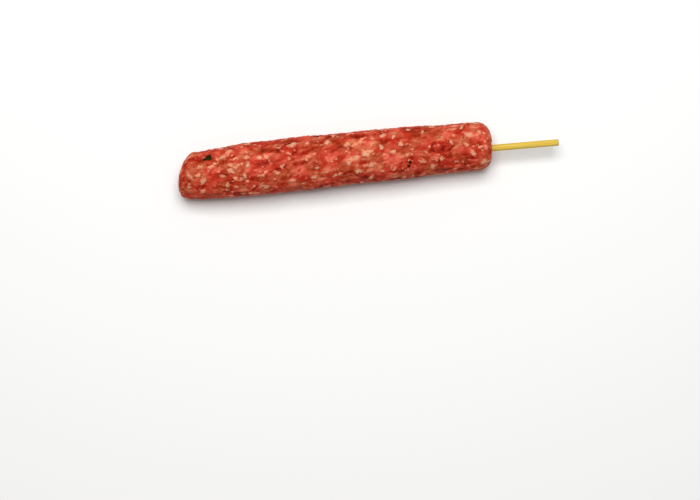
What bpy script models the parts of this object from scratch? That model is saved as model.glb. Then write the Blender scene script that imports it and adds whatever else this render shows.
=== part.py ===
"""Raw kofta skewer: a bar of minced meat pressed by hand round a round bamboo stick.

The skewer lies on its side. +X runs along the stick towards its bare end, and Z is 0 at the
surface that the meat rests on, with the origin under the middle of the whole skewer.
Lengths are in metres.
"""

import math

import bmesh
import bpy
from mathutils import Vector

MM = 0.001

# Bamboo stick: a plain dowel with one sharpened end, which is buried in the meat.
STICK_LENGTH = 250 * MM
STICK_RADIUS = 2.25 * MM
STICK_SHOWN = 45.5 * MM
STICK_POINT = 12 * MM
STICK_POINT_RADIUS = 0.35 * MM
STICK_BUTT_BEVEL = 0.3 * MM
STICK_HEIGHT = 15.4 * MM
STICK_SIDES = 24
BORE_GAP = 0.3 * MM

# Meat: measured from its blind end, with the stick's axis at Y = 0.
MEAT_LENGTH = 211 * MM
BODY_STATIONS = (
    # share of the length, half width, how far the middle lies beside the stick
    (0.00, 14.8 * MM, -0.6 * MM),
    (0.11, 16.2 * MM, -0.7 * MM),
    (0.22, 17.6 * MM, 0.0 * MM),
    (0.46, 17.5 * MM, 1.2 * MM),
    (0.72, 17.0 * MM, 2.0 * MM),
    (0.86, 16.2 * MM, 2.4 * MM),
    (1.00, 15.9 * MM, 2.0 * MM),
)
HEIGHT_SHARE = 0.93  # half height over half width
SUNK_SHARE = 0.075  # share of the half height that is pressed flat underneath
SLUMP = 0.035  # how much wider the lower half is than the upper
BLIND_END_DEPTH = 5.7 * MM
STICK_END_DEPTH = 12.5 * MM
BLIND_END_ROUND = 2.5  # 2 would make the end an ellipse; more makes it blunter
STICK_END_ROUND = 3.1
BLIND_END_SLANT = 0.55  # the end's +Y side is shifted towards +X by this much for each metre
STICK_END_SLANT = 0.10
BLIND_END_LEAN = 0.10  # and its upper side by this much
SLANT_SOFTNESS = 8 * MM  # the shifted side blends into the other over about this width
SLANT_REACH = 50 * MM  # the shift fades out over this much of the bar
PRESS_DEPTH = 0.35 * MM  # shallow waves that the hand leaves

SEGMENTS = 48
END_RINGS = 9
BODY_RINGS = 38
RINGS = 2 * END_RINGS + BODY_RINGS


def clear_scene():
    for obj in list(bpy.data.objects):
        bpy.data.objects.remove(obj)


def make_material(name, colour, roughness):
    material = bpy.data.materials.new(name)
    material.use_nodes = True
    shader = material.node_tree.nodes["Principled BSDF"]
    shader.inputs["Base Color"].default_value = (*colour, 1.0)
    shader.inputs["Roughness"].default_value = roughness
    shader.inputs["Metallic"].default_value = 0.0
    return material


def new_object(name, bm, material):
    mesh = bpy.data.meshes.new(name)
    bm.to_mesh(mesh)
    bm.free()
    obj = bpy.data.objects.new(name, mesh)
    bpy.context.scene.collection.objects.link(obj)
    if material:
        mesh.materials.append(material)
    return obj


def slope_at(station):
    """(slope of the half width, slope of the middle) at a station, from its two neighbours."""
    before = BODY_STATIONS[max(station - 1, 0)]
    after = BODY_STATIONS[min(station + 1, len(BODY_STATIONS) - 1)]
    return [(b - a) / (after[0] - before[0]) for a, b in zip(before[1:], after[1:])]


def body_at(share):
    """(half width, middle) of the bar at a share of its length, on smooth curves."""
    station = 0
    while station < len(BODY_STATIONS) - 2 and share > BODY_STATIONS[station + 1][0]:
        station += 1
    before, after = BODY_STATIONS[station], BODY_STATIONS[station + 1]
    gap = after[0] - before[0]
    part = (share - before[0]) / gap
    eased = part * part * (3 - 2 * part)
    rise = part * (1 - part) * (1 - part) * gap
    fall = part * part * (1 - part) * gap
    slopes = zip(before[1:], after[1:], slope_at(station), slope_at(station + 1))
    return [a + (b - a) * eased + start * rise - end * fall for a, b, start, end in slopes]


def end_curve(quarter, depth, exponent):
    """(distance from the tip, share of full width) on a rounded end; quarter runs from 0 to 1."""
    angle = quarter * math.pi / 2
    power = 2 / exponent
    return depth * (1 - math.cos(angle) ** power), math.sin(angle) ** power


def ring_at(ring):
    """(distance from the blind end, share of full width) of one ring of the bar."""
    if ring <= END_RINGS:
        return end_curve(ring / END_RINGS, BLIND_END_DEPTH, BLIND_END_ROUND)
    if ring >= RINGS - END_RINGS:
        distance, width = end_curve((RINGS - ring) / END_RINGS, STICK_END_DEPTH, STICK_END_ROUND)
        return MEAT_LENGTH - distance, width
    part = (ring - END_RINGS) / BODY_RINGS
    straight = MEAT_LENGTH - BLIND_END_DEPTH - STICK_END_DEPTH
    return BLIND_END_DEPTH + part * straight, 1.0


def pressed(distance, angle):
    """How far the hand's shallow waves lift the surface at this place."""
    turn = math.tau * distance / MEAT_LENGTH
    waves = (
        0.45 * math.sin(3.2 * turn + 2 * angle)
        + 0.35 * math.sin(5.3 * turn - angle + 1.3)
        + 0.20 * math.sin(8.7 * turn + 3 * angle + 0.6)
    )
    return PRESS_DEPTH * waves


def meat_point(ring, angle):
    """A point of the bar's surface, with the stick's axis at Y = 0 and the rest at Z = 0."""
    distance, share = ring_at(ring)
    half_width, middle = body_at(distance / MEAT_LENGTH)
    half_height = half_width * HEIGHT_SHARE
    upper = min(1.0, 1 + math.sin(angle))
    lift = pressed(distance, angle) * share * upper
    side = math.cos(angle) * (1 - SLUMP * math.sin(angle))
    y = middle * share + (half_width * share + lift) * side
    centre_height = half_height * (1 - SUNK_SHARE)
    pole_height = STICK_HEIGHT * (1 - share) + centre_height * share
    z = pole_height + (half_height * share + lift) * math.sin(angle)
    far_side = (y + math.hypot(y, SLANT_SOFTNESS)) / 2
    near_blind_end = max(0.0, 1 - distance / SLANT_REACH) ** 2
    near_stick_end = max(0.0, 1 - (MEAT_LENGTH - distance) / SLANT_REACH) ** 2
    shift = near_blind_end * (BLIND_END_SLANT * far_side + BLIND_END_LEAN * (z - STICK_HEIGHT))
    shift += near_stick_end * STICK_END_SLANT * far_side
    return Vector((distance + shift, y, max(z, 0.0)))


def make_meat(material):
    """The bar: a ball whose rings are drawn out along X into the bar's rings."""
    bm = bmesh.new()
    bmesh.ops.create_uvsphere(bm, u_segments=SEGMENTS, v_segments=RINGS, radius=1.0)
    for vertex in bm.verts:
        latitude = math.acos(max(-1.0, min(1.0, vertex.co.z)))
        ring = round(latitude / math.pi * RINGS)
        angle = math.atan2(vertex.co.y, vertex.co.x)
        vertex.co = meat_point(ring, angle)
    bmesh.ops.recalc_face_normals(bm, faces=bm.faces)
    return new_object("minced_meat", bm, material)


def stick_profile(grown):
    """(X, radius) along the stick from its point to its butt, with the skin moved out by grown."""
    butt = MEAT_LENGTH + STICK_SHOWN
    point = butt - STICK_LENGTH
    radius = STICK_RADIUS + grown
    return [
        (point - grown, 0.0),
        (point - grown, STICK_POINT_RADIUS + grown),
        (point + STICK_POINT, radius),
        (butt - STICK_BUTT_BEVEL, radius),
        (butt, radius - STICK_BUTT_BEVEL),
        (butt, 0.0),
    ]


def make_rod(name, profile, material):
    """A rod turned round the stick's axis from its profile."""
    bm = bmesh.new()
    points = [bm.verts.new((x, 0.0, STICK_HEIGHT + radius)) for x, radius in profile]
    edges = [bm.edges.new(pair) for pair in zip(points, points[1:])]
    bmesh.ops.spin(
        bm,
        geom=points + edges,
        cent=(0.0, 0.0, STICK_HEIGHT),
        axis=(1.0, 0.0, 0.0),
        angle=math.tau,
        steps=STICK_SIDES,
    )
    bmesh.ops.remove_doubles(bm, verts=bm.verts, dist=0.01 * MM)
    bmesh.ops.recalc_face_normals(bm, faces=bm.faces)
    return new_object(name, bm, material)


def bore(meat, cutter):
    """Opens the blind bore that the stick sits in. The cutter is only a helper."""
    cutter.hide_render = True
    cutter.display_type = "WIRE"
    cut = meat.modifiers.new("stick_bore", "BOOLEAN")
    cut.operation = "DIFFERENCE"
    cut.solver = "EXACT"
    cut.object = cutter


def centre_on_origin(objects, meat):
    """Moves all the pieces so that the origin is under the middle of the skewer's box."""
    across = [vertex.co.y for vertex in meat.data.vertices]
    blind_end = min(vertex.co.x for vertex in meat.data.vertices)
    butt = MEAT_LENGTH + STICK_SHOWN
    middle = Vector(((blind_end + butt) / 2, (min(across) + max(across)) / 2, 0.0))
    for obj in objects:
        obj.location = -middle


def main():
    clear_scene()
    meat_material = make_material("minced_meat", (0.42, 0.065, 0.035), 0.45)
    bamboo_material = make_material("bamboo", (0.76, 0.52, 0.12), 0.6)
    meat = make_meat(meat_material)
    meat.data.shade_smooth()
    stick = make_rod("bamboo_stick", stick_profile(0.0), bamboo_material)
    stick.data.shade_smooth()
    stick.data.set_sharp_from_angle(angle=math.radians(30))
    cutter = make_rod("stick_bore_cutter", stick_profile(BORE_GAP), None)
    bore(meat, cutter)
    centre_on_origin([meat, stick, cutter], meat)


main()
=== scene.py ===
"""Raw kofta skewer: models the minced meat, its fat, herbs and spice, and the bamboo stick.

Every piece is built around the fixed solids of the frame, in metres, +X along the stick towards
its bare end, +Z up. Run it as a script; the sidebar panel makes the same pieces one by one.
"""

import math

import bpy
import numpy as np
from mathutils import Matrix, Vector


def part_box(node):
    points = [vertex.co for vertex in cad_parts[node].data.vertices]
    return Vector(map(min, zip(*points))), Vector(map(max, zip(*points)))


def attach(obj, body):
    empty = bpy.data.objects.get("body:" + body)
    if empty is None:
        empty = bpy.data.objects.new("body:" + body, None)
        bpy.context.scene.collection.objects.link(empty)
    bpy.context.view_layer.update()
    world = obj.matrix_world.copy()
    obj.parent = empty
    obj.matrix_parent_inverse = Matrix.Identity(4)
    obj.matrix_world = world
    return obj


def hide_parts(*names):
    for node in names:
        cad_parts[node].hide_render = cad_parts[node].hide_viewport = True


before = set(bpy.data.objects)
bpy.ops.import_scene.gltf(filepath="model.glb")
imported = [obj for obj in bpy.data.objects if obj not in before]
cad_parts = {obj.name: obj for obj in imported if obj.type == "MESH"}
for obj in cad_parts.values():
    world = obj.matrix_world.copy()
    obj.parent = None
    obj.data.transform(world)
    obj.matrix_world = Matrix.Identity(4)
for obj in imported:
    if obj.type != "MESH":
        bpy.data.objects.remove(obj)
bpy.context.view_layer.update()  # the fixed solids, which nothing here moves

bl_info = {
    "name": "Kofta Skewer",
    "version": (1, 0, 0),
    "blender": (4, 5, 0),
    "location": "3D View > Sidebar > Kofta",
    "description": "Models a raw kofta skewer around its fixed solids",
    "category": "Object",
}

MM = 0.001
BODY = "root"
MEAT_LOW, MEAT_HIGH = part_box("minced_meat")
STICK_LOW, STICK_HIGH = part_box("bamboo_stick")
STICK_RADIUS = (STICK_HIGH.z - STICK_LOW.z) / 2
STICK_LINE = Vector((0.0, (STICK_LOW.y + STICK_HIGH.y) / 2, (STICK_LOW.z + STICK_HIGH.z) / 2))
SOLID_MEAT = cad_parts["minced_meat"]
SMALLEST = 0.001 * MM  # doubles closer than this are merged


# Short ways of working --------------------


def colour_setting(name, about, colour):
    return bpy.props.FloatVectorProperty(
        name=name, description=about, default=colour, subtype="COLOR", size=3, min=0.0, max=1.0
    )


def length_setting(name, about, millimetres):
    return bpy.props.FloatProperty(
        name=name, description=about, default=millimetres * MM, unit="LENGTH", precision=5, min=0.0
    )


def share_setting(name, about, share):
    return bpy.props.FloatProperty(
        name=name, description=about, default=share, subtype="FACTOR", min=0.0, max=1.0
    )


def angle_setting(name, about, degrees):
    return bpy.props.FloatProperty(
        name=name, description=about, default=math.radians(degrees), subtype="ANGLE"
    )


def count_setting(name, about, count):
    return bpy.props.IntProperty(name=name, description=about, default=count, min=1)


def pick(*objects):
    """Selects only these objects and makes the first one active."""
    bpy.ops.object.select_all(action="DESELECT")
    for obj in objects:
        obj.select_set(True)
    bpy.context.view_layer.objects.active = objects[0]


def named(name):
    """Names the active object and its mesh."""
    obj = bpy.context.active_object
    obj.name = name
    obj.data.name = name
    return obj


def discard(*objects):
    pick(*objects)
    bpy.ops.object.delete()


def apply_modifiers(obj):
    """Applies all of an object's modifiers and clears their node trees away."""
    pick(obj)
    trees = [modifier.node_group for modifier in obj.modifiers if modifier.type == "NODES"]
    for name in [modifier.name for modifier in obj.modifiers]:
        bpy.ops.object.modifier_apply(modifier=name)
    for tree in trees:
        bpy.data.node_groups.remove(tree)


def finish_piece(obj, replaced=()):
    """Ties a finished piece to the frame."""
    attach(obj, BODY)
    if replaced:
        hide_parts(*replaced)


class Nodes:
    """Lays nodes in a tree. A value is a number, a vector or another node's output."""

    def __init__(self, tree):
        self.tree = tree

    def feed(self, socket, value):
        if isinstance(value, bpy.types.NodeSocket):
            self.tree.links.new(value, socket)
        else:
            socket.default_value = value

    def add(self, kind, sockets=(), **settings):
        """Adds a node, given its sockets' values by name or number."""
        node = self.tree.nodes.new(kind)
        for name, value in settings.items():
            setattr(node, name, value)
        for name, value in dict(sockets).items():
            self.feed(node.inputs[name], value)
        return node

    def math(self, operation, *values):
        return self.add("ShaderNodeMath", enumerate(values), operation=operation).outputs[0]

    def squared(self, value):
        return self.math("MULTIPLY", value, value)

    def vector(self, operation, *values):
        return self.add("ShaderNodeVectorMath", enumerate(values), operation=operation).outputs[0]

    def scaled(self, vector, factor):
        sockets = {0: vector, "Scale": factor}
        return self.add("ShaderNodeVectorMath", sockets, operation="SCALE").outputs[0]

    def parts(self, vector):
        return self.add("ShaderNodeSeparateXYZ", {0: vector}).outputs

    def joined(self, x, y, z):
        return self.add("ShaderNodeCombineXYZ", {"X": x, "Y": y, "Z": z}).outputs[0]

    def ranged(self, value, low, high, to_low=0.0, to_high=1.0, smooth=True):
        """Carries value from one range to another, held at its ends."""
        course = "SMOOTHSTEP" if smooth else "LINEAR"
        sockets = enumerate((value, low, high, to_low, to_high))
        return self.add("ShaderNodeMapRange", sockets, interpolation_type=course).outputs[0]

    def away_from_half(self, value, share):
        """How far a value lies from one half, times a share."""
        return self.math("MULTIPLY", self.math("SUBTRACT", value, 0.5), share)

    def noise(self, place, scale, detail=2.0, roughness=0.5, output="Fac"):
        sockets = {"Vector": place, "Scale": scale, "Detail": detail, "Roughness": roughness}
        return self.add("ShaderNodeTexNoise", sockets).outputs[output]

    def pull(self, place, scale, reach, **noise):
        """A push to any side, by a noise: half the reach at the most."""
        colour = self.noise(place, scale, output="Color", **noise)
        return self.scaled(self.vector("SUBTRACT", colour, (0.5, 0.5, 0.5)), reach)

    def cells(self, place, scale, feature="F1", softness=0.0):
        sockets = {"Vector": place, "Scale": scale}
        if feature == "SMOOTH_F1":
            sockets["Smoothness"] = softness
        return self.add("ShaderNodeTexVoronoi", sockets, feature=feature).outputs

    def mixed(self, share, first, second):
        """Mixes two colours, each of them three numbers or another node's output."""
        node = self.add("ShaderNodeMix", {0: share}, data_type="RGBA")
        for socket, colour in zip(node.inputs[6:8], (first, second)):
            linked = isinstance(colour, bpy.types.NodeSocket)
            self.feed(socket, colour if linked else (*colour, 1.0))
        return node.outputs[2]

    def ramp(self, value, stops):
        """A colour for each value, from (place, colour) stops."""
        node = self.add("ShaderNodeValToRGB", {0: value})
        elements = node.color_ramp.elements
        while len(elements) < len(stops):
            elements.new(0.5)
        for element, (place, colour) in zip(elements, stops):
            element.position = place
            element.color = (*colour, 1.0)
        return node.outputs[0]

    def bump(self, height, distance, strength):
        sockets = {"Height": height, "Distance": distance, "Strength": strength}
        return self.add("ShaderNodeBump", sockets).outputs[0]

    def position(self):
        return self.add("GeometryNodeInputPosition").outputs[0]

    def normal(self):
        return self.add("GeometryNodeInputNormal").outputs[0]

    def moved(self, geometry, **sockets):
        """Moves points to a Position or by an Offset."""
        return self.add("GeometryNodeSetPosition", {"Geometry": geometry, **sockets}).outputs[0]

    def rested(self, place):
        """A place, lifted to the table if it lies below."""
        x, y, z = self.parts(place)
        return self.joined(x, y, self.math("MAXIMUM", z, 0.0))

    def shape_of(self, obj, instance=False):
        sockets = {"Object": obj, "As Instance": instance}
        return self.add("GeometryNodeObjectInfo", sockets).outputs["Geometry"]

    def together(self, parts):
        node = self.add("GeometryNodeJoinGeometry")
        for part in parts:
            self.tree.links.new(part, node.inputs[0])
        return node.outputs[0]

    def store(self, geometry, name, value, kind="FLOAT"):
        """Writes a value to every point as a named attribute."""
        sockets = {"Geometry": geometry, "Name": name, "Value": value}
        return self.add("GeometryNodeStoreNamedAttribute", sockets, data_type=kind).outputs[0]

    def stored(self, name, kind="FLOAT"):
        node = self.add("GeometryNodeInputNamedAttribute", {"Name": name}, data_type=kind)
        return node.outputs[0]

    def random(self, low, high, seed):
        """A number between two others for each point, in geometry trees."""
        sockets = {2: low, 3: high, "Seed": seed}
        return self.add("FunctionNodeRandomValue", sockets, data_type="FLOAT").outputs[1]


def new_group(name, kind, inputs, outputs):
    """An empty node group with these (name, socket type) inputs and outputs."""
    tree = bpy.data.node_groups.new(name, kind)
    for direction, sockets in (("INPUT", inputs), ("OUTPUT", outputs)):
        for socket, socket_type in sockets:
            tree.interface.new_socket(socket, in_out=direction, socket_type=socket_type)
    nodes = Nodes(tree)
    return nodes, nodes.add("NodeGroupInput").outputs, nodes.add("NodeGroupOutput").inputs


def new_geometry_modifier(obj, name):
    """A geometry nodes modifier on obj, and the way into and out of its tree."""
    geometry = [("Geometry", "NodeSocketGeometry")]
    nodes, start, end = new_group(name, "GeometryNodeTree", geometry, geometry)
    modifier = obj.modifiers.new(name, "NODES")
    modifier.node_group = nodes.tree
    return nodes, start["Geometry"], end["Geometry"]


def new_material(name):
    """A material with one principled shader. Returns it, its nodes and the shader's sockets."""
    material = bpy.data.materials.new(name)
    material.use_nodes = True
    nodes = Nodes(material.node_tree)
    shader = material.node_tree.nodes["Principled BSDF"]
    return material, nodes, shader.inputs


def wet_flesh(shader, roughness, bleed):
    """The plain values that all raw meat and fat share: light bleeds in, and juice lies on it."""
    shader["Roughness"].default_value = roughness
    shader["Subsurface Weight"].default_value = bleed
    shader["Subsurface Radius"].default_value = (1.0, 0.32, 0.2)
    shader["Subsurface Scale"].default_value = 0.9 * MM
    shader["Specular IOR Level"].default_value = 0.02
    shader["Coat Roughness"].default_value = 0.28
    shader["Coat IOR"].default_value = 1.35


# The grain of the mince --------------------

# How many there are in a millimetre
SWIRLS = 0.14  # slow bends in the rows of grains
RAGS = 0.9  # nicks in the edge of each grain
BLOTCHES = 0.03  # wide patches of paler and darker mince
AIRS = 0.1  # patches that the air has turned browner
CURDS = 0.3  # soft lumps
STRANDS = 0.56  # threads of meat
FINE_SPOTS = 0.9
FINE_BUMPS = 2.2
# How many there are for each grain
CHUNKS = 0.8
LAYS = 0.5  # patches in which the strands lie one way
PITS = 2.1
FAT_SPOTS = 1.0
FAT_CRUMBS = 1.9

SWIRL_REACH = 3.6  # mm
RAG_REACH = 1.0  # mm
STRAND_STRETCH = 0.25  # width of a strand over its length
SEAM_WIDTH = 0.14  # share of a grain
DOME_WIDTH = 0.36
BEAD_WIDTH = 0.4
RELIEF_DETAIL = 1.0  # how much of the finest raggedness a mesh can hold
COLOUR_DETAIL = 3.0


def grain_group(kind, settings, detail):
    """Pressed grains of lean and fat. One rule serves the relief and the colour alike."""
    nodes, start, end = new_group(
        "mince grain",
        kind,
        [("Place", "NodeSocketVector")],
        [(out, "NodeSocketFloat") for out in ("Tone", "Dull", "Fat", "Rise", "Seam")],
    )
    place = nodes.scaled(start["Place"], 1 / MM)
    across = {"Vector": place, "Angle": -settings.slant}
    aslant = nodes.add("ShaderNodeVectorRotate", across, rotation_type="Z_AXIS").outputs[0]
    drawn = nodes.vector("MULTIPLY", aslant, (settings.stretch, 1.0, 1.0))
    bent = nodes.vector("ADD", drawn, nodes.pull(drawn, SWIRLS, SWIRL_REACH))
    rags = nodes.pull(bent, RAGS, RAG_REACH, detail=detail, roughness=0.6)
    ragged = nodes.vector("ADD", bent, rags)

    grain_scale = MM / settings.grain
    softness = settings.softness
    chunks = nodes.cells(ragged, grain_scale * CHUNKS, "SMOOTH_F1", softness)["Color"]
    grains = nodes.cells(ragged, grain_scale, "SMOOTH_F1", softness)["Color"]
    gaps = nodes.cells(ragged, grain_scale, "DISTANCE_TO_EDGE")["Distance"]
    pits = nodes.cells(ragged, grain_scale * PITS, "DISTANCE_TO_EDGE")["Distance"]
    blotches = nodes.noise(place, BLOTCHES, detail=1.0)
    airs = nodes.noise(aslant, AIRS, detail=1.0)
    fine = nodes.noise(ragged, FINE_SPOTS, detail=4.0, roughness=0.62)
    curds = nodes.noise(ragged, CURDS, detail=detail, roughness=0.6)
    lay = nodes.scaled(nodes.cells(ragged, grain_scale * LAYS)["Color"], math.tau)
    turned = nodes.add(
        "ShaderNodeVectorRotate", {"Vector": ragged, "Rotation": lay}, rotation_type="EULER_XYZ"
    )
    combed = nodes.vector("MULTIPLY", turned.outputs[0], (STRAND_STRETCH, 1.0, 1.0))
    strands = nodes.noise(combed, STRANDS, detail=detail)

    chunk = nodes.parts(chunks)
    grain = nodes.parts(grains)

    tone = nodes.away_from_half(grain["X"], 0.35)
    shares = ((chunk["X"], 0.35), (blotches, 0.2), (curds, 0.6), (strands, 0.56), (fine, 0.3))
    for part, share in shares:
        tone = nodes.math("ADD", tone, nodes.away_from_half(part, share))
    nodes.feed(end["Tone"], nodes.math("ADD", tone, 0.5))
    dull = nodes.away_from_half(chunk["Y"], 0.35)
    nodes.feed(end["Dull"], nodes.ranged(nodes.math("ADD", airs, dull), 0.38, 0.62))

    fringe = nodes.away_from_half(curds, 1.6)
    fringe = nodes.math("ADD", fringe, nodes.math("SUBTRACT", fine, 0.5))
    plenty = nodes.away_from_half(blotches, 0.5)
    fat = 0.0
    fat_share = settings.fat_share
    for scale, share in ((FAT_SPOTS, fat_share), (FAT_CRUMBS, fat_share * 0.8)):
        spots = nodes.cells(ragged, grain_scale * scale)
        luck = nodes.math("ADD", nodes.parts(spots["Color"])["Z"], plenty)
        reach = nodes.math("MULTIPLY", nodes.math("SUBTRACT", luck, 1.0 - share), 2.4)
        inside = nodes.math("SUBTRACT", reach, spots["Distance"])
        here = nodes.ranged(nodes.math("ADD", inside, fringe), -0.2, 0.35)
        fat = nodes.math("MAXIMUM", fat, here)
    nodes.feed(end["Fat"], fat)

    # The seams are the creases where the grains meet; the colours paint shade into them
    nodes.feed(end["Seam"], nodes.ranged(gaps, 0.0, SEAM_WIDTH, 1.0, 0.0))
    dome = nodes.math("POWER", nodes.ranged(gaps, 0.0, DOME_WIDTH, smooth=False), 0.55)
    bead = nodes.math("POWER", nodes.ranged(pits, 0.0, BEAD_WIDTH, smooth=False), 0.6)
    rise = nodes.away_from_half(grain["Z"], 0.45)
    for part, share in ((dome, 0.5), (bead, 0.2), (curds, 0.6), (strands, 0.3)):
        rise = nodes.math("ADD", rise, nodes.math("MULTIPLY", part, share))
    nodes.feed(end["Rise"], rise)
    return nodes.tree


# The bar of minced meat --------------------


class MinceSettings(bpy.types.PropertyGroup):
    spacing: length_setting("Spacing", "Distance between the rings of the bar's surface", 0.5)
    around: count_setting("Around", "Points around the bar", 200)
    grain: length_setting("Grain", "Width of a pressed grain of mince", 3.5)
    stretch: share_setting("Stretch", "Width of a grain over its length along the bar", 0.62)
    slant: angle_setting("Slant", "Turn of the grains away from the bar's length", 10)
    softness: share_setting("Softness", "How softly the grains run into each other", 0.8)
    relief: length_setting("Relief", "Height of the grains", 1.0)
    fat_share: share_setting("Fat", "Share of the grains that have fat in them", 0.22)
    # The deep lean colour also serves as the painted shade in the creases between grains
    deep: colour_setting("Deep lean", "Colour of the darkest lean", (0.19, 0.010, 0.002))
    lean: colour_setting("Lean", "Colour of bright lean", (0.43, 0.0365, 0.0115))
    middle: colour_setting("Mixed", "Colour of lean ground with fat", (0.55, 0.092, 0.040))
    pink: colour_setting("Pink", "Colour of pink, fatty grains", (0.74, 0.217, 0.108))
    fresh: colour_setting("Fresh", "Tint of the redder mince", (1.0, 0.70, 0.84))
    dull: colour_setting("Dull", "Tint of the browner mince", (0.84, 0.92, 0.88))
    fat: colour_setting("Fat colour", "Colour of the fat", (0.75, 0.345, 0.195))


SOLID_BORE_GAP = 0.3 * MM  # the solid meat clears the stick by this
BORE_SLACK = 0.05 * MM  # the bore hidden in the meat clears the stick by this
LIP_SQUEEZE = 0.06 * MM  # and at its mouth the meat grips the stick by this
LIP_LENGTH = 1.3 * MM
LIP_RADIUS = STICK_RADIUS + 0.9 * MM
LIP_ROUNDING = 0.6 * MM  # how deep in the bore the lip's rounded edge starts
LIP_EDGE = 0.25 * MM  # and how wide it is
BORE_TIP_GAP = 0.3 * MM  # the bore ends this far past the stick's point
BORE_TIP_RADIUS = 0.6 * MM
POINT_LENGTH = 12 * MM
BORE_MIDDLE = 100 * MM  # a ring this far from the stick's point splits the bore's long faces
BORE_LAST_RING = 10 * MM  # and so does one this far inside the mouth
BORE_NARROWS = 3 * MM  # the bore narrows towards its lip from this far inside the mouth
CORE_RADIUS = 11.5 * MM  # the surface is drawn on this core, then pressed out to the solid
CORE_INSET = 3.0 * MM
PRESS_ROUNDS = 8  # how often the pressed skin is smoothed
FACET_ROUNDS = 2
CLOSED_END_INSET = 4.5 * MM  # the core's tip lies past the end of the solid's bore
CLOSED_END_DEPTH = 5.5 * MM
STICK_END_DEPTH = 7.0 * MM
BLUNTNESS = 2.2
END_FINENESS = 0.6  # the rings of both ends are this much closer together
CAP_RADIUS = 3.0 * MM  # the tip of the closed end is one smooth grain of this size
CAP_RISE = 0.3  # which stands this share of the relief high
MEAN_RISE = 0.7  # the grain's mean height over the relief, which is sunk into the bar
MINCE_COLOUR = "mince colour"
BORE_SHARE = 0.02  # share of the unrolled map that the bore gets
LIP_FADE = 0.012  # the skin takes its grain over this share of the map past the bore


def rounded_end(tip, depth, radius):
    """(X, radius) points of a blunt end, from its tip to where it is full."""
    steps = 40
    power = 2 / BLUNTNESS
    points = []
    for step in range(steps + 1):
        angle = step / steps * math.pi / 2
        reach = 1 - math.cos(angle) ** power
        points.append((tip + depth * reach, radius * math.sin(angle) ** power))
    return points


def evenly(points, spacing):
    """The same line with its points an even distance apart."""
    line = np.array(points)
    gaps = np.linalg.norm(np.diff(line, axis=0), axis=1)
    reached = np.concatenate([[0.0], np.cumsum(gaps)])
    count = max(1, round(reached[-1] / spacing))
    wanted = np.linspace(0.0, reached[-1], count + 1)
    return [tuple(np.interp(at, reached, line[:, axis]) for axis in (0, 1)) for at in wanted]


def meat_face():
    """X of the solid meat's face beside the stick, where its bore opens."""
    rim = STICK_RADIUS + 2 * SOLID_BORE_GAP
    points = points_of(SOLID_MEAT.data)
    beside = np.hypot(points[:, 1] - STICK_LINE.y, points[:, 2] - STICK_LINE.z) < rim
    return float(points[beside, 0].max())


def bar_outline(spacing):
    """(bore's points, skin's points) of half the bar's section, as (X, distance from the axis)."""
    mouth = meat_face()
    gap = STICK_RADIUS + BORE_SLACK
    grip = STICK_RADIUS - LIP_SQUEEZE
    bore = [
        (STICK_LOW.x - BORE_TIP_GAP, 0.0),
        (STICK_LOW.x - BORE_TIP_GAP, BORE_TIP_RADIUS),
        (STICK_LOW.x + POINT_LENGTH, gap),
        (STICK_LOW.x + BORE_MIDDLE, gap),
        (mouth - BORE_LAST_RING, gap),
        (mouth - BORE_NARROWS, gap),
        (mouth - LIP_LENGTH, grip),
        (mouth - LIP_ROUNDING, grip),
        (mouth - LIP_ROUNDING / 3, STICK_RADIUS + LIP_EDGE),
    ]
    stick_end = rounded_end(mouth - CORE_INSET, -STICK_END_DEPTH, CORE_RADIUS)
    stick_end = [point for point in stick_end if point[1] > LIP_RADIUS]
    closed_end = rounded_end(MEAT_LOW.x + CLOSED_END_INSET, CLOSED_END_DEPTH, CORE_RADIUS)
    fine = spacing * END_FINENESS
    side = evenly([stick_end[-1], closed_end[-1]], spacing)
    skin = evenly(stick_end, fine) + side[1:] + evenly(closed_end[::-1], fine)[1:]
    return bore, skin


def draw_line(name, points):
    """Draws a chain of edges through (X, distance) points, over the stick's line."""
    start = STICK_LINE + Vector((points[0][0], 0.0, points[0][1]))
    bpy.ops.object.select_all(action="DESELECT")
    bpy.ops.mesh.primitive_plane_add(size=MM, location=start)
    bpy.ops.object.transform_apply(location=True, rotation=False, scale=False)
    bpy.ops.object.mode_set(mode="EDIT")
    bpy.ops.mesh.merge(type="CENTER")
    for before, after in zip(points, points[1:]):
        step = (after[0] - before[0], 0.0, after[1] - before[1])
        bpy.ops.mesh.extrude_vertices_move(TRANSFORM_OT_translate={"value": step})
    bpy.ops.object.mode_set(mode="OBJECT")
    return named(name)


def spin_line(obj, steps):
    """Spins the drawn line round the stick's line into a closed skin."""
    pick(obj)
    bpy.ops.object.mode_set(mode="EDIT")
    bpy.ops.mesh.select_all(action="SELECT")
    bpy.ops.mesh.spin(steps=steps, angle=math.tau, center=STICK_LINE, axis=(1.0, 0.0, 0.0))
    bpy.ops.mesh.select_all(action="SELECT")
    bpy.ops.mesh.remove_doubles(threshold=SMALLEST)
    bpy.ops.mesh.normals_make_consistent(inside=False)
    bpy.ops.object.mode_set(mode="OBJECT")


def write_point_values(mesh, name, values):
    attribute = mesh.attributes.new(name, "FLOAT", "POINT")
    attribute.data.foreach_set("value", np.asarray(values, np.float32))


def read_point_values(mesh, name):
    values = np.zeros(len(mesh.vertices), np.float32)
    mesh.attributes[name].data.foreach_get("value", values)
    return values


def points_of(mesh):
    points = np.zeros(len(mesh.vertices) * 3, np.float32)
    mesh.vertices.foreach_get("co", points)
    return points.reshape(-1, 3)


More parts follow.
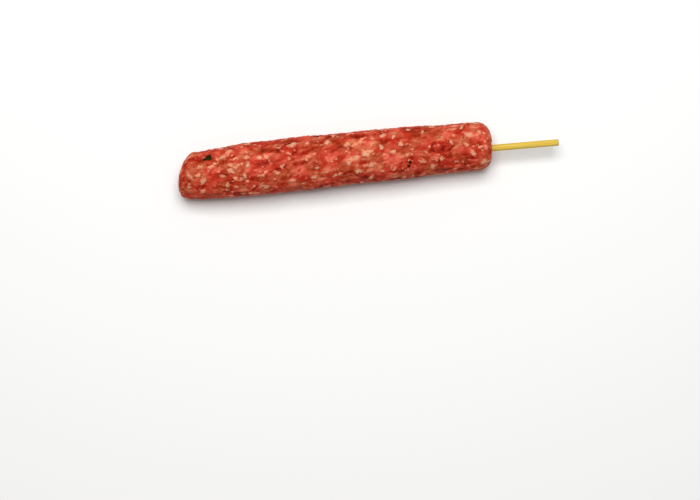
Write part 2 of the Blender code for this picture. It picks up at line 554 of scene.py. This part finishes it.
def unroll(mesh, along, steps):
    """Writes the bar's own map: U runs along it and V round it, cut along its underside."""
    across = points_of(mesh)[:, 1:] - np.array(STICK_LINE)[1:]
    turn = np.round(np.arctan2(across[:, 0], across[:, 1]) / math.tau % 1.0 * steps) / steps
    turn = (turn + 0.5) % 1.0
    pole = np.hypot(*across.T) < SMALLEST
    corners = np.zeros(len(mesh.loops), np.int64)
    mesh.loops.foreach_get("vertex_index", corners)
    starts = np.zeros(len(mesh.polygons), np.int64)
    mesh.polygons.foreach_get("loop_start", starts)
    sizes = np.diff(np.append(starts, len(corners)))
    face = np.repeat(np.arange(len(starts)), sizes)
    v = np.where(pole[corners], np.nan, turn[corners])
    # A face that crosses the cut has corners at both ends of the map
    widest = np.fmax.reduceat(v, starts)
    over_the_cut = (widest[face] > 0.75) & (v < 0.25)
    v = np.where(over_the_cut, v + 1.0, v)
    middle = (np.fmax.reduceat(v, starts) + np.fmin.reduceat(v, starts)) / 2
    v = np.where(np.isnan(v), middle[face], v)
    layer = mesh.uv_layers.new(name="OFBake")
    layer.data.foreach_set("uv", np.stack([along[corners], v], 1).astype(np.float32).ravel())


def add_skin_modifier(obj, name, kind, **settings):
    """Adds a modifier that works on the bar's skin and leaves its bore alone."""
    modifier = obj.modifiers.new(name, kind)
    modifier.vertex_group = "skin"
    for setting, value in settings.items():
        setattr(modifier, setting, value)


def press_to_solid(obj):
    """Presses the drawn skin out onto the solid bar, then evens it."""
    outwards = {"use_positive_direction": True, "use_negative_direction": False}
    press = {"target": SOLID_MEAT, "wrap_method": "PROJECT", **outwards}
    settle = {"target": SOLID_MEAT, "wrap_method": "NEAREST_SURFACEPOINT"}
    add_skin_modifier(obj, "press", "SHRINKWRAP", **press)
    add_skin_modifier(obj, "even", "SMOOTH", factor=0.5, iterations=PRESS_ROUNDS)
    add_skin_modifier(obj, "settle", "SHRINKWRAP", **settle)
    add_skin_modifier(obj, "blend the facets", "SMOOTH", factor=0.5, iterations=FACET_ROUNDS)
    apply_modifiers(obj)


def from_line_squared(nodes, place):
    """The squared distance of a place from the stick's line."""
    beside = nodes.parts(nodes.vector("SUBTRACT", place, STICK_LINE))
    return nodes.math("ADD", nodes.squared(beside["Y"]), nodes.squared(beside["Z"]))


def raise_grain(obj, settings):
    """Raises the grains on the skin and keeps the pressed place of each point for the colours."""
    nodes, skin_mesh, end = new_geometry_modifier(obj, "grain")
    place, normal = nodes.position(), nodes.normal()
    for name, value in (("pressed_at", place), ("outwards", normal)):
        skin_mesh = nodes.store(skin_mesh, name, value, "FLOAT_VECTOR")
    tree = grain_group("GeometryNodeTree", settings, RELIEF_DETAIL)
    grain = nodes.add("GeometryNodeGroup", {"Place": place}, node_tree=tree)
    height = nodes.math("MULTIPLY", grain.outputs["Rise"], settings.relief)
    height = nodes.math("SUBTRACT", height, settings.relief * MEAN_RISE)
    fade = nodes.ranged(nodes.stored("along"), BORE_SHARE, BORE_SHARE + LIP_FADE)
    height = nodes.math("MULTIPLY", height, fade)
    closed = nodes.ranged(from_line_squared(nodes, place), 0.0, CAP_RADIUS**2, 1.0, 0.0)
    closed = nodes.math("MULTIPLY", closed, fade)
    above = nodes.math("SUBTRACT", settings.relief * CAP_RISE, height)
    height = nodes.math("ADD", height, nodes.math("MULTIPLY", above, closed))
    raised = nodes.vector("ADD", place, nodes.scaled(normal, height))
    nodes.feed(end, nodes.moved(skin_mesh, Position=nodes.rested(raised)))
    apply_modifiers(obj)


def mince_colour_group(settings):
    """The colours of lean, mixed and fat grains pressed together, with painted shade in the
    creases between them.
    """
    nodes, start, end = new_group(
        MINCE_COLOUR,
        "ShaderNodeTree",
        [("Place", "NodeSocketVector")],
        [("Color", "NodeSocketColor"), ("Tone", "NodeSocketFloat"), ("Rise", "NodeSocketFloat")],
    )
    tree = grain_group("ShaderNodeTree", settings, COLOUR_DETAIL)
    grain = nodes.add("ShaderNodeGroup", {"Place": start["Place"]}, node_tree=tree).outputs
    tones = (settings.deep, settings.lean, settings.middle, settings.pink)
    colour = nodes.ramp(grain["Tone"], list(zip((0.17, 0.36, 0.56, 0.84), tones)))
    tint = nodes.mixed(grain["Dull"], settings.fresh, settings.dull)
    colour = nodes.vector("MULTIPLY", colour, tint)
    # Painted shade: the seams between grains are darkened with the deep lean colour; the fat is
    # its own colour
    for mask, cover, over in (("Seam", 0.1, settings.deep), ("Fat", 0.8, settings.fat)):
        colour = nodes.mixed(nodes.math("MULTIPLY", grain[mask], cover), colour, over)
    nodes.feed(end["Color"], colour)
    nodes.feed(end["Tone"], grain["Tone"])
    nodes.feed(end["Rise"], grain["Rise"])
    return nodes.tree


def mince_here(nodes):
    """The mince's colour and grain at a point of the skin, or of a bit that is pressed into it."""
    place = nodes.add("ShaderNodeAttribute", attribute_name="pressed_at").outputs["Vector"]
    tree = bpy.data.node_groups[MINCE_COLOUR]
    return place, nodes.add("ShaderNodeGroup", {"Place": place}, node_tree=tree).outputs


def mince_material():
    """The mince's own colours under a thin wet film."""
    material, nodes, shader = new_material("pressed mince")
    place, mince = mince_here(nodes)
    nodes.feed(shader["Base Color"], mince["Color"])
    wet_flesh(shader, roughness=0.5, bleed=0.2)
    nodes.feed(shader["Roughness"], nodes.ranged(mince["Tone"], 0.2, 0.8, 0.44, 0.6))
    nodes.feed(shader["Coat Weight"], nodes.ranged(mince["Rise"], 0.5, 1.1, 0.0, 0.12))
    fine = nodes.noise(place, FINE_BUMPS / MM, detail=3.0)
    nodes.feed(shader["Normal"], nodes.bump(fine, 0.12 * MM, 0.5))
    return material


class KOFTA_OT_add_mince(bpy.types.Operator):
    """Add the bar of minced meat with its grain"""

    bl_idname = "kofta.add_mince"
    bl_label = "Minced Meat"

    def execute(self, context):
        settings = context.scene.kofta_mince
        bore, skin = bar_outline(settings.spacing)
        outline = bore + skin
        bar = draw_line("mince_bar", outline)
        along = np.empty(len(outline))
        along[: len(bore)] = np.linspace(0.0, BORE_SHARE, len(bore))
        along[len(bore) :] = np.linspace(BORE_SHARE, 1.0, len(skin) + 1)[1:]
        write_point_values(bar.data, "along", along)
        spin_line(bar, settings.around)
        along = read_point_values(bar.data, "along")
        unroll(bar.data, along, settings.around)
        on_skin = np.flatnonzero(along > BORE_SHARE).tolist()
        bar.vertex_groups.new(name="skin").add(on_skin, 1.0, "REPLACE")
        press_to_solid(bar)
        raise_grain(bar, settings)
        pick(bar)
        bpy.ops.object.shade_smooth()
        mince_colour_group(settings)
        bar.data.materials.append(mince_material())
        finish_piece(bar, ["minced_meat"])
        return {"FINISHED"}


# The bamboo stick --------------------


class StickSettings(bpy.types.PropertyGroup):
    around: count_setting("Around", "Points around the stick", 40)
    spacing: length_setting("Spacing", "Distance between the rings of the bare part", 0.5)
    relief: length_setting("Relief", "Depth of the grooves between the fibres", 0.12)
    straw: colour_setting("Straw", "Colour of the bamboo", (0.62, 0.41, 0.045))
    pale: colour_setting("Pale", "Colour of the paler fibres", (0.69, 0.50, 0.08))
    brown: colour_setting("Brown", "Colour of the darker fibres", (0.43, 0.25, 0.023))
    damp: colour_setting("Damp", "Colour next to the meat, wet with juice", (0.54, 0.30, 0.018))
    worn: colour_setting("Worn", "Colour of the cut end", (0.42, 0.32, 0.12))


POINT_RADIUS = 0.35 * MM
BUTT_BEVEL = 0.3 * MM
WORN_LENGTH = 1.6 * MM
FIBRE_STRETCH = 0.02  # width of the fibres' pattern over its length
COARSE_FIBRES = 0.9  # how many there are in a millimetre, as for the next
FINE_FIBRES = 3.2
DAMP_RAGS = 0.5
DAMP_WANDER = 6 * MM  # the ragged edge of the damp part wanders over this length
DAMP_START = 2 * MM  # inside the meat's end
DAMP_REACH = 7 * MM  # and out of it


def stick_outline(spacing):
    """(X, radius) points of half the stick's section, finer where it is bare."""
    butt = STICK_HIGH.x
    hidden = [
        (STICK_LOW.x, 0.0),
        (STICK_LOW.x, POINT_RADIUS),
        (STICK_LOW.x + POINT_LENGTH, STICK_RADIUS),
        (0.0, STICK_RADIUS),
    ]
    bare = [(MEAT_HIGH.x - 4 * MM, STICK_RADIUS), (butt - BUTT_BEVEL, STICK_RADIUS)]
    cut = evenly([(butt, STICK_RADIUS - BUTT_BEVEL), (butt, 0.0)], spacing / 2)
    return hidden + evenly(bare, spacing) + cut


def fibre_height(nodes, place):
    """0 in the grooves and 1 on the fibres, which run all along the stick."""
    drawn = nodes.vector("MULTIPLY", nodes.scaled(place, 1 / MM), (FIBRE_STRETCH, 1.0, 1.0))
    coarse = nodes.noise(drawn, COARSE_FIBRES, detail=2.0)
    fine = nodes.noise(drawn, FINE_FIBRES, detail=2.0, roughness=0.6)
    coarse, fine = nodes.math("MULTIPLY", coarse, 0.55), nodes.math("MULTIPLY", fine, 0.45)
    return nodes.ranged(nodes.math("ADD", coarse, fine), 0.3, 0.62, smooth=False)


def carve_fibres(obj, relief):
    """Cuts shallow grooves between the fibres and roughens the cut end."""
    nodes, stick, end = new_geometry_modifier(obj, "fibres")
    height = nodes.math("SUBTRACT", fibre_height(nodes, nodes.position()), 1.0)
    sunk = nodes.scaled(nodes.normal(), nodes.math("MULTIPLY", height, relief))
    nodes.feed(end, nodes.moved(stick, Offset=sunk))
    apply_modifiers(obj)


def bamboo_material(settings):
    """Straw-coloured fibres, greyer at the cut end and wet with juice beside the meat."""
    material, nodes, shader = new_material("bamboo")
    place = nodes.add("ShaderNodeTexCoord").outputs["Object"]
    height = fibre_height(nodes, place)
    tones = ((0.0, settings.brown), (0.45, settings.straw), (1.0, settings.pale))
    x = nodes.parts(place)["X"]
    blur = nodes.noise(place, DAMP_RAGS / MM, detail=3.0)
    waved = nodes.math("ADD", x, nodes.away_from_half(blur, DAMP_WANDER))
    damp = nodes.ranged(waved, MEAT_HIGH.x - DAMP_START, MEAT_HIGH.x + DAMP_REACH, 0.9, 0.0)
    colour = nodes.mixed(damp, nodes.ramp(height, tones), settings.damp)
    worn = nodes.ranged(x, STICK_HIGH.x - WORN_LENGTH, STICK_HIGH.x, 0.0, 0.5)
    nodes.feed(shader["Base Color"], nodes.mixed(worn, colour, settings.worn))
    shader["Specular IOR Level"].default_value = 0.25
    nodes.feed(shader["Roughness"], nodes.ranged(damp, 0.0, 0.9, 0.62, 0.35))
    return material


class KOFTA_OT_add_stick(bpy.types.Operator):
    """Add the bamboo stick"""

    bl_idname = "kofta.add_stick"
    bl_label = "Bamboo Stick"

    def execute(self, context):
        settings = context.scene.kofta_stick
        stick = draw_line("split_bamboo", stick_outline(settings.spacing))
        spin_line(stick, settings.around)
        carve_fibres(stick, settings.relief)
        pick(stick)
        bpy.ops.object.shade_smooth_by_angle(angle=math.radians(40))
        stick.data.materials.append(bamboo_material(settings))
        finish_piece(stick, ["bamboo_stick"])
        return {"FINISHED"}


# Bits in the mince --------------------


FLATNESS = 0.4  # less flattens the top of a bit more
SIGHT_ABOVE = 4 * MM  # the skin is looked for from this high above it
SIGHT_LENGTH = 9 * MM  # over this length
BITS = {
    # Shortest, longest (mm), breadth over length, then thickness, how far the top stands proud and
    # how far the outline is pulled out of shape (mm), the most that a bit is turned from the bar's
    # length, and how much more of them lie in some places than in others (0 to 1)
    "fat_bits": (3.2, 9.0, 0.7, 1.2, 0.18, 2.4, 1.2, 0.4),
    "fat_crumbs": (1.6, 4.4, 0.65, 0.8, 0.12, 1.6, math.pi, 0.5),
    "fat_threads": (2.5, 6.5, 0.3, 0.8, 0.12, 1.6, 0.8, 0.5),
    "lean_bits": (2.2, 6.5, 0.6, 1.2, 0.14, 1.9, 0.9, 0.4),
    "herb_flecks": (1.1, 2.6, 0.6, 0.5, 0.45, 0.9, math.pi, 0.0),
    "pepper_specks": (0.4, 0.9, 0.85, 0.5, 0.15, 0.0, math.pi, 0.0),
}
# How many there are in a millimetre
CROWDS = 0.11
RUFFLES = 0.45
MOTTLES = 0.8
CROWD_SHIFT = (0.37, 0.11, 0.0)  # the crowded places move by this many metres with each seed
TRIES = 3.0  # points that are tried in each square of the spacing
SHORTNESS = 1.8  # more makes more of the bits short
UNEVEN_BREADTH = 0.25  # a bit is up to this share broader or narrower
UNEVEN_HEIGHT = 0.4  # and stands this share prouder or less proud
EARLIEST_EDGE = 0.05  # share of a bit's half width that keeps the mince's colour
EDGE_RAGS = 1.7  # how ragged that edge is, over the fringe's width
UNEVEN_ROUGHNESS = 0.08


def make_lumps(numbers, ragged, sides=9, rings=5):
    """Rounded crumbs about one metre across, to be scaled down where they are set."""
    lumps = []
    for number in numbers:
        bpy.ops.object.select_all(action="DESELECT")
        bpy.ops.mesh.primitive_uv_sphere_add(segments=sides, ring_count=rings, radius=0.5)
        lumps.append(make_ragged(f"lump {number}", number, ragged))
    return lumps


def make_strand(name, seed, bend):
    """A bent strand about one metre long, to be scaled down where it is set."""
    bpy.ops.object.select_all(action="DESELECT")
    bpy.ops.mesh.primitive_uv_sphere_add(
        segments=6, ring_count=8, radius=0.5, rotation=(0.0, math.radians(90), 0.0)
    )
    bpy.ops.object.transform_apply(location=False, rotation=True, scale=False)
    strand = make_ragged(name, seed, 0.05)
    curl = strand.modifiers.new("curl", "SIMPLE_DEFORM")
    curl.deform_method = "BEND"
    curl.deform_axis = "Z"
    curl.angle = bend
    apply_modifiers(strand)
    return strand


def make_ragged(name, seed, offset):
    """Makes the active shape ragged, and notes for each of its points how high it lies once
    flattened and how far in from the shape's edge.
    """
    shape = named(name)
    points = points_of(shape.data) * 2
    height = points[:, 2]
    write_point_values(shape.data, "lift", np.sign(height) * np.abs(height) ** FLATNESS)
    write_point_values(shape.data, "inward", 1.0 - np.hypot(points[:, 0], points[:, 1]))
    bpy.ops.object.mode_set(mode="EDIT")
    bpy.ops.mesh.select_all(action="SELECT")
    bpy.ops.transform.vertex_random(offset=offset, seed=seed)
    bpy.ops.object.mode_set(mode="OBJECT")
    return shape


def nearest(nodes, bar, name):
    """A vector stored on the bar, at the place of its skin that lies nearest."""
    sockets = {"Mesh": bar, "Value": nodes.stored(name, "FLOAT_VECTOR")}
    node = nodes.add("GeometryNodeSampleNearestSurface", sockets, data_type="FLOAT_VECTOR")
    return node.outputs["Value"]


def scattered(nodes, bar, apart, crowding, lengths, breadth, turn, seed):
    """Points scattered over the solid bar, each with the size and turn of a bit to come."""
    place = nodes.position()
    shifted = nodes.vector("ADD", place, [seed * shift for shift in CROWD_SHIFT])
    crowd = nodes.ranged(nodes.noise(shifted, CROWDS / MM, detail=1.0), 0.42, 0.6)
    chance = nodes.math("ADD", nodes.math("MULTIPLY", crowd, crowding), 1.0 - crowding)
    past_bore = nodes.add(
        "FunctionNodeCompare",
        {"A": from_line_squared(nodes, place), "B": LIP_RADIUS**2},
        operation="GREATER_THAN",
    )
    points = nodes.add(
        "GeometryNodeDistributePointsOnFaces",
        {
            "Mesh": nodes.shape_of(SOLID_MEAT),
            "Selection": past_bore.outputs[0],
            "Distance Min": apart,
            "Density Max": TRIES / apart**2,
            "Density Factor": chance,
            "Seed": seed,
        },
        distribute_method="POISSON",
    ).outputs["Points"]
    points = nodes.store(points, "outwards", nearest(nodes, bar, "outwards"), "FLOAT_VECTOR")
    uneven = nodes.math("POWER", nodes.random(0.0, 1.0, seed + 1), SHORTNESS)
    points = nodes.store(points, "long", nodes.ranged(uneven, 0.0, 1.0, *lengths, smooth=False))
    narrow, broad = breadth * (1 - UNEVEN_BREADTH), breadth * (1 + UNEVEN_BREADTH)
    share = nodes.random(narrow, broad, seed + 2)
    points = nodes.store(points, "wide", nodes.math("MULTIPLY", nodes.stored("long"), share))
    return nodes.store(points, "turn", nodes.random(-turn, turn, seed + 3))


def placed(nodes, bar, spots):
    """Points dropped onto the bar's top, from (X, Y, length, breadth, turn) for each, in mm."""
    points = []
    drop = 2 * MEAT_HIGH.z
    for x, y, long, wide, turn in spots:
        above = (x * MM, y * MM, drop)
        point = nodes.add("GeometryNodePoints", {"Position": above}).outputs[0]
        for name, value in (("long", long * MM), ("wide", wide * MM), ("turn", turn)):
            point = nodes.store(point, name, value)
        points.append(point)
    below = nodes.add(
        "GeometryNodeRaycast",
        {
            "Target Geometry": bar,
            "Attribute": nodes.stored("outwards", "FLOAT_VECTOR"),
            "Ray Direction": (0.0, 0.0, -1.0),
            "Ray Length": drop,
        },
        data_type="FLOAT_VECTOR",
    ).outputs
    outwards = below["Attribute"]
    points = nodes.store(nodes.together(points), "outwards", outwards, "FLOAT_VECTOR")
    return nodes.moved(points, Position=below["Hit Position"])


def set_shapes(nodes, points, shapes, thickness, seed):
    """Sets one of the shapes at every point, square to the skin."""
    choice = nodes.together(nodes.shape_of(shape, instance=True) for shape in shapes)
    sockets = {4: 0, 5: len(shapes) - 1, "Seed": seed + 4}
    which = nodes.add("FunctionNodeRandomValue", sockets, data_type="INT")
    upright = nodes.add(
        "FunctionNodeAlignRotationToVector",
        {"Vector": nodes.stored("outwards", "FLOAT_VECTOR")},
        axis="Z",
    )
    along = nodes.add(
        "FunctionNodeAlignRotationToVector",
        {"Rotation": upright.outputs[0], "Vector": (1.0, 0.0, 0.0)},
        axis="X",
        pivot_axis="Z",
    )
    swing = nodes.add(
        "FunctionNodeAxisAngleToRotation",
        {"Axis": (0.0, 0.0, 1.0), "Angle": nodes.stored("turn")},
    )
    turned = nodes.add(
        "FunctionNodeRotateRotation",
        {"Rotation": along.outputs[0], "Rotate By": swing.outputs[0]},
        rotation_space="LOCAL",
    )
    copies = nodes.add(
        "GeometryNodeInstanceOnPoints",
        {
            "Points": points,
            "Instance": choice,
            "Pick Instance": True,
            "Instance Index": which.outputs[2],
            "Rotation": turned.outputs[0],
            "Scale": nodes.joined(nodes.stored("long"), nodes.stored("wide"), thickness),
        },
    )
    return nodes.add("GeometryNodeRealizeInstances", {"Geometry": copies.outputs[0]}).outputs[0]


def lay_on_skin(nodes, bar, bits, thickness):
    """Moves each point of the bits to its own height over the skin, so that they follow its grain.

    The top of a bit stands proud, and its rim lies below the skin.
    """
    outwards = nodes.stored("outwards", "FLOAT_VECTOR")
    above = nodes.vector("ADD", nodes.position(), nodes.scaled(outwards, SIGHT_ABOVE))
    skin = nodes.add(
        "GeometryNodeRaycast",
        {
            "Target Geometry": bar,
            "Source Position": above,
            "Ray Direction": nodes.scaled(outwards, -1.0),
            "Ray Length": SIGHT_LENGTH,
        },
    )
    sunk = nodes.math("MULTIPLY", nodes.math("SUBTRACT", 1.0, nodes.stored("lift")), thickness / 2)
    height = nodes.math("SUBTRACT", nodes.stored("proud"), sunk)
    laid = nodes.vector("ADD", skin.outputs["Hit Position"], nodes.scaled(outwards, height))
    bits = nodes.moved(bits, Selection=skin.outputs["Is Hit"], Position=nodes.rested(laid))
    return nodes.store(bits, "pressed_at", nearest(nodes, bar, "pressed_at"), "FLOAT_VECTOR")


def press_in(name, shapes, apart, seed, spots=()):
    """Presses many of the shapes into the bar's skin as one piece. Spots are placed one by one, as
    listed.
    """
    shortest, longest, breadth, thickness, proud, ruffle, turn, crowding = BITS[name]
    lengths = (shortest * MM, longest * MM)
    bpy.ops.object.select_all(action="DESELECT")
    bpy.ops.mesh.primitive_plane_add(size=MM)
    piece = named(name)
    nodes, _, end = new_geometry_modifier(piece, "press in")
    bar = nodes.shape_of(bpy.data.objects["mince_bar"])
    points = scattered(nodes, bar, apart, crowding, lengths, breadth, turn, seed)
    if spots:
        points = nodes.together((points, placed(nodes, bar, spots)))
    lowest, highest = proud * MM * (1 - UNEVEN_HEIGHT), proud * MM * (1 + UNEVEN_HEIGHT)
    points = nodes.store(points, "proud", nodes.random(lowest, highest, seed + 5))
    points = nodes.store(points, "tint", nodes.random(0.0, 1.0, seed + 6))
    bits = set_shapes(nodes, points, shapes, thickness * MM, seed)
    ruffles = nodes.pull(nodes.position(), RUFFLES / MM, ruffle * MM, detail=1.0)
    bits = nodes.moved(bits, Offset=ruffles)
    nodes.feed(end, lay_on_skin(nodes, bar, bits, thickness * MM))
    apply_modifiers(piece)
    piece.data.materials.clear()
    bpy.ops.object.shade_smooth()
    discard(*shapes)
    return piece


def bit_material(name, stops, cover, fringe, mottle=0.8, roughness=0.5, bleed=0.0):
    """A wet bit, whose colour comes from its tint and some mottling.

    Its own colour covers the mince's by the share cover at the most, and runs into it from the
    edge inwards over the share fringe of its half width. bleed is how much light bleeds in.
    """
    material, nodes, shader = new_material(name)
    tint = nodes.add("ShaderNodeAttribute", attribute_name="tint").outputs["Fac"]
    inward = nodes.add("ShaderNodeAttribute", attribute_name="inward").outputs["Fac"]
    place, mince = mince_here(nodes)
    blur = nodes.noise(place, MOTTLES / MM, detail=3.0, roughness=0.6)
    uneven = nodes.math("SUBTRACT", blur, 0.5)
    shade = nodes.math("ADD", tint, nodes.math("MULTIPLY", uneven, mottle))
    inside = nodes.math("ADD", inward, nodes.math("MULTIPLY", uneven, EDGE_RAGS * fringe))
    own = nodes.ranged(inside, EARLIEST_EDGE, EARLIEST_EDGE + fringe, 0.0, cover)
    colour = nodes.mixed(own, mince["Color"], nodes.ramp(shade, stops))
    nodes.feed(shader["Base Color"], colour)
    wet_flesh(shader, roughness, bleed)
    smoothest, roughest = roughness - UNEVEN_ROUGHNESS, roughness + UNEVEN_ROUGHNESS
    nodes.feed(shader["Roughness"], nodes.ranged(blur, 0.3, 0.7, smoothest, roughest))
    nodes.feed(shader["Normal"], nodes.bump(blur, 0.15 * MM, 0.4))
    return material


class FatSettings(bpy.types.PropertyGroup):
    apart: length_setting("Spacing", "Least distance between two bits", 7.0)
    crumb_apart: length_setting("Crumb spacing", "Least distance between two crumbs", 6.2)
    thread_apart: length_setting("Thread spacing", "Least distance between two threads", 9.0)
    cream: colour_setting("Cream", "Colour of the palest fat", (0.72, 0.36, 0.225))
    rose: colour_setting("Rose", "Colour of the pinkest fat", (0.69, 0.255, 0.15))
    seed: count_setting("Seed", "Another number scatters the fat anew", 3)


class KOFTA_OT_add_fat(bpy.types.Operator):
    """Add the bits, crumbs and threads of fat"""

    bl_idname = "kofta.add_fat"
    bl_label = "Fat"

    def execute(self, context):
        settings = context.scene.kofta_fat
        cream, rose = settings.cream, settings.rose
        stops = ((0.0, rose), (0.6, cream), (1.0, cream))
        thick = bit_material("fat", stops, cover=0.85, fringe=0.75, mottle=1.6, bleed=0.2)
        pinker = ((0.0, rose), (1.0, rose))
        thin = bit_material("thin fat", pinker, cover=0.8, fringe=0.8, mottle=0.9, bleed=0.2)
        lumps = make_lumps(range(1, 7), 0.13, 12)
        bits = press_in("fat_bits", lumps, settings.apart, settings.seed)
        lumps = make_lumps(range(7, 11), 0.15)
        crumbs = press_in("fat_crumbs", lumps, settings.crumb_apart, settings.seed + 20)
        bends = enumerate((0.9, -1.4, 1.9))
        strands = [make_strand(f"strand {number}", number, bend) for number, bend in bends]
        threads = press_in("fat_threads", strands, settings.thread_apart, settings.seed + 40)
        for piece, look in ((bits, thick), (crumbs, thin), (threads, thin)):
            piece.data.materials.append(look)
            finish_piece(piece)
        return {"FINISHED"}


class LeanSettings(bpy.types.PropertyGroup):
    apart: length_setting("Spacing", "Least distance between two bits", 6.4)
    crimson: colour_setting("Crimson", "Colour of the brightest lean", (0.47, 0.026, 0.012))
    garnet: colour_setting("Garnet", "Colour of the darkest lean", (0.19, 0.010, 0.003))
    seed: count_setting("Seed", "Another number scatters the lean anew", 63)


class KOFTA_OT_add_lean(bpy.types.Operator):
    """Add the bits of lean meat"""

    bl_idname = "kofta.add_lean"
    bl_label = "Lean"

    def execute(self, context):
        settings = context.scene.kofta_lean
        stops = ((0.1, settings.garnet), (0.6, settings.crimson), (1.0, settings.crimson))
        lumps = make_lumps(range(11, 17), 0.13)
        bits = press_in("lean_bits", lumps, settings.apart, settings.seed)
        material = bit_material("lean", stops, cover=0.8, fringe=0.6, roughness=0.42, bleed=0.15)
        bits.data.materials.append(material)
        finish_piece(bits)
        return {"FINISHED"}


class SeasoningSettings(bpy.types.PropertyGroup):
    apart: length_setting("Herb spacing", "Least distance between two chopped leaves", 40)
    speck_apart: length_setting("Speck spacing", "Least distance between two specks", 24)
    leaf: colour_setting("Leaf", "Colour of the chopped herbs", (0.038, 0.026, 0.003))
    pepper: colour_setting("Pepper", "Colour of the ground pepper", (0.15, 0.050, 0.020))
    seed: count_setting("Seed", "Another number scatters the seasoning anew", 83)


HERB_SPOTS = (
    # X, Y, length and breadth in mm, and turn
    (-105.2, 8.8, 5.0, 5.8, 0.0),
    (-107.6, 7.8, 4.4, 2.4, 0.3),
    (27.5, -6.0, 3.0, 2.2, 0.6),
    (26.3, -8.2, 2.6, 1.9, -0.9),
)


class KOFTA_OT_add_seasoning(bpy.types.Operator):
    """Add the chopped herbs and the ground pepper"""

    bl_idname = "kofta.add_seasoning"
    bl_label = "Herbs and Pepper"

    def execute(self, context):
        settings = context.scene.kofta_seasoning
        leaves = make_lumps(range(1, 5), 0.16, rings=4)
        herbs = press_in("herb_flecks", leaves, settings.apart, settings.seed, HERB_SPOTS)
        stops = ((0.0, [0.4 * channel for channel in settings.leaf]), (1.0, settings.leaf))
        herbs.data.materials.append(bit_material("herbs", stops, cover=1.0, fringe=0.15))
        lumps = make_lumps((21, 22), 0.12)
        specks = press_in("pepper_specks", lumps, settings.speck_apart, settings.seed + 20)
        stops = ((0.0, [0.5 * channel for channel in settings.pepper]), (1.0, settings.pepper))
        dry = bit_material("pepper", stops, cover=1.0, fringe=0.15, roughness=0.6)
        specks.data.materials.append(dry)
        for piece in (herbs, specks):
            finish_piece(piece)
        return {"FINISHED"}


# The stage --------------------


class StageSettings(bpy.types.PropertyGroup):
    camera_height: length_setting("Camera height", "Height of the camera over the table", 1120)
    key_power: bpy.props.FloatProperty(
        name="Key light", description="Power of the main soft light", default=25.5, unit="POWER"
    )
    fill: share_setting("Fill", "Strength of the light from all round", 0.26)
    table: colour_setting("Table", "Colour of the table", (0.82, 0.82, 0.81))


CAMERA_LENS = 85.0
CAMERA_TURN = math.radians(-5.0)
CAMERA_BESIDE = (-17.3 * MM, -60.4 * MM)  # the skewer lies above the middle of the view
KEY_REACH = 1.5  # the main light's distance from the skewer
KEY_TILT = math.radians(17)  # its turn from upright
KEY_SIZE = (1.0, 0.9)
TABLE_SIZE = 3.0
TABLE_DROP = 0.1 * MM


class KOFTA_OT_add_stage(bpy.types.Operator):
    """Add the table, the lights and the camera"""

    bl_idname = "kofta.add_stage"
    bl_label = "Stage"

    def execute(self, context):
        settings = context.scene.kofta_stage
        bpy.ops.object.select_all(action="DESELECT")
        bpy.ops.mesh.primitive_plane_add(size=TABLE_SIZE, location=(0.0, 0.0, -TABLE_DROP))
        table = named("table")
        material, _, shader = new_material("pale table")
        shader["Base Color"].default_value = (*settings.table, 1.0)
        shader["Roughness"].default_value = 0.7
        table.data.materials.append(material)

        spot = (0.0, KEY_REACH * math.sin(KEY_TILT), KEY_REACH * math.cos(KEY_TILT))
        bpy.ops.object.light_add(type="AREA", location=spot)
        key = bpy.context.active_object
        key.name = "key_light"
        key.data.shape = "RECTANGLE"
        key.data.size, key.data.size_y = KEY_SIZE
        key.data.energy = settings.key_power
        key.rotation_euler = (-key.location).to_track_quat("-Z", "Y").to_euler()

        world = bpy.data.worlds.new("soft surroundings")
        world.use_nodes = True
        background = world.node_tree.nodes["Background"].inputs
        background["Strength"].default_value = settings.fill
        background["Color"].default_value = (1.0, 1.0, 1.0, 1.0)
        context.scene.world = world

        bpy.ops.object.camera_add(
            location=(*CAMERA_BESIDE, settings.camera_height), rotation=(0.0, 0.0, CAMERA_TURN)
        )
        camera = bpy.context.active_object
        camera.name = "camera"
        camera.data.lens = CAMERA_LENS
        camera.data.clip_start = 0.01
        context.scene.camera = camera
        context.scene.view_settings.view_transform = "Standard"
        return {"FINISHED"}


# The panel --------------------

PIECES = (
    KOFTA_OT_add_mince,
    KOFTA_OT_add_stick,
    KOFTA_OT_add_fat,
    KOFTA_OT_add_lean,
    KOFTA_OT_add_seasoning,
    KOFTA_OT_add_stage,
)
SETTINGS = {
    "kofta_mince": MinceSettings,
    "kofta_stick": StickSettings,
    "kofta_fat": FatSettings,
    "kofta_lean": LeanSettings,
    "kofta_seasoning": SeasoningSettings,
    "kofta_stage": StageSettings,
}


class KOFTA_PT_panel(bpy.types.Panel):
    """The skewer's settings and pieces"""

    bl_label = "Kofta Skewer"
    bl_idname = "KOFTA_PT_panel"
    bl_space_type = "VIEW_3D"
    bl_region_type = "UI"
    bl_category = "Kofta"

    def draw(self, context):
        for name in SETTINGS:
            group = getattr(context.scene, name)
            box = self.layout.box()
            for setting in group.bl_rna.properties.keys():
                if setting not in ("rna_type", "name"):
                    box.prop(group, setting)
        for piece in PIECES:
            self.layout.operator(piece.bl_idname)


CLASSES = (*SETTINGS.values(), *PIECES, KOFTA_PT_panel)


def register():
    for cls in CLASSES:
        bpy.utils.register_class(cls)
    for name, group in SETTINGS.items():
        setattr(bpy.types.Scene, name, bpy.props.PointerProperty(type=group))


def unregister():
    for name in SETTINGS:
        delattr(bpy.types.Scene, name)
    for cls in reversed(CLASSES):
        bpy.utils.unregister_class(cls)


def main():
    register()
    bpy.ops.kofta.add_mince()
    bpy.ops.kofta.add_stick()
    bpy.ops.kofta.add_fat()
    bpy.ops.kofta.add_lean()
    bpy.ops.kofta.add_seasoning()
    bpy.ops.kofta.add_stage()


if __name__ == "__main__":
    main()
